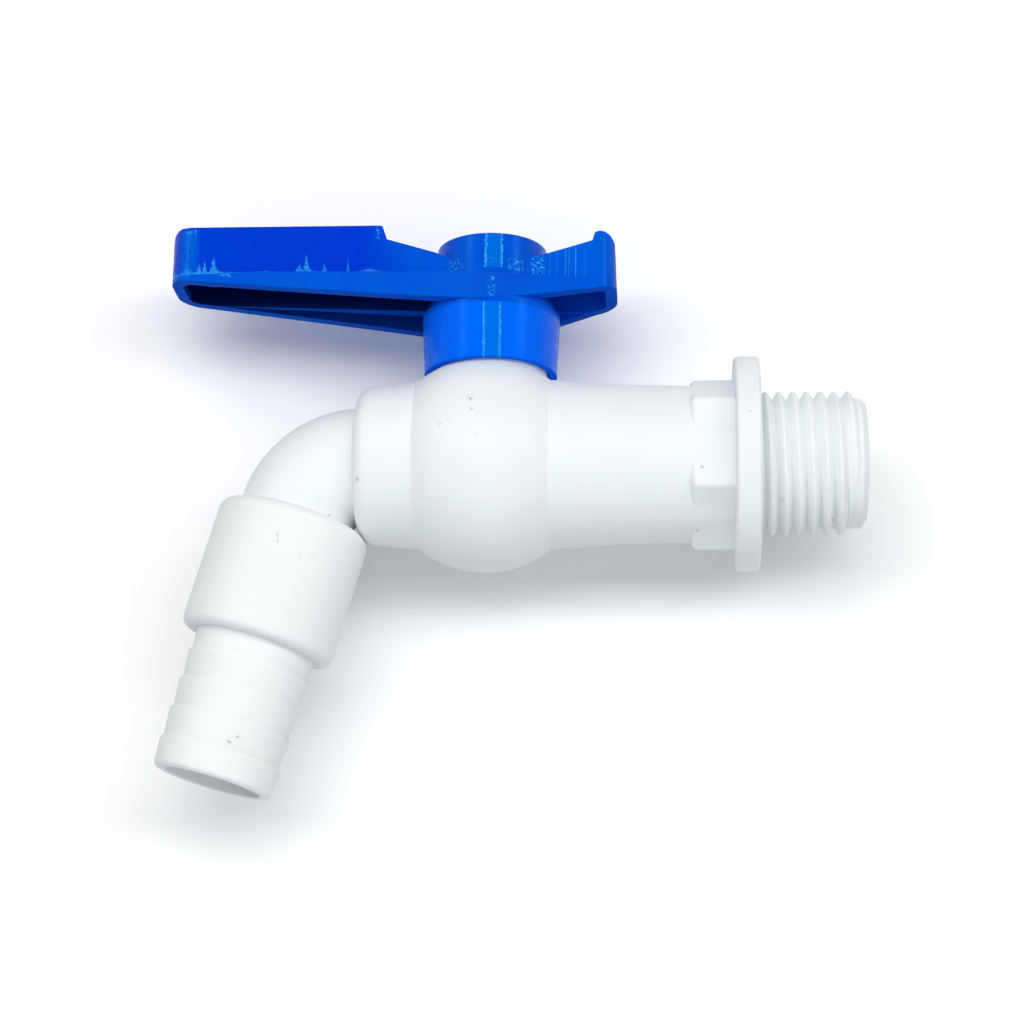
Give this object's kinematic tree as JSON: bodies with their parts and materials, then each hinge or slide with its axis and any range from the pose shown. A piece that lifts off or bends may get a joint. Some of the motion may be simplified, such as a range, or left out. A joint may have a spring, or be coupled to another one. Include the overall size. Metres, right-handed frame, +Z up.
{
  "type": "garden tap",
  "caption": "White plastic garden tap: quarter-turn ball valve with a threaded inlet, wall flange, hexagon, elbow spout, ribbed hose tail and a blue lever handle.",
  "frame": {"origin": "centre of the inlet thread where it meets the flange's face", "axes": "+X out along the inlet thread, +Z up along the valve stem, spout and hose tail at the -X end and down"},
  "size_m": [0.1024, 0.0314, 0.0847],
  "materials": {
    "white_plastic": "satin",
    "elbow_plastic": "satin",
    "tail_plastic": "satin",
    "blue_plastic": "glossy",
    "ball_plastic": "glossy",
    "stem_plastic": "matt",
    "seat_plastic": "matt",
    "black_rubber": "matt",
    "bright_steel": "bright"
  },
  "bodies": {
    "tap_body": {"valve_body": "white_plastic", "rear_seat_ring": "seat_plastic", "front_seat_ring": "seat_plastic", "rear_cushion_ring": "black_rubber", "front_cushion_ring": "black_rubber", "seat_retainer": "white_plastic", "spout_elbow": "elbow_plastic", "elbow_seal": "black_rubber", "hose_tail": "tail_plastic", "hose_washer": "black_rubber", "stem_thrust_washer": "seat_plastic"},
    "handle": {"handle_lever": "blue_plastic", "valve_stem": "stem_plastic", "handle_screw": "bright_steel", "screw_washer": "bright_steel", "stem_seal_lower": "black_rubber", "stem_seal_upper": "black_rubber"},
    "ball": {"ball": "ball_plastic"}
  },
  "joints": [
    {"name": "handle_turn", "type": "hinge", "parent": "tap_body", "child": "handle", "pos_m": [-0.0393, 0, 0.0196], "axis": [0, 0, 1], "range_deg": [-90, 0]},
    {"name": "ball_turn", "type": "hinge", "parent": "tap_body", "child": "ball", "pos_m": [-0.0393, 0, 0], "axis": [0, 0, 1], "range_deg": [-90, 0]}
  ],
  "couplings": [
    {"joint": "ball_turn", "follows": "handle_turn", "ratio": 1}
  ]
}
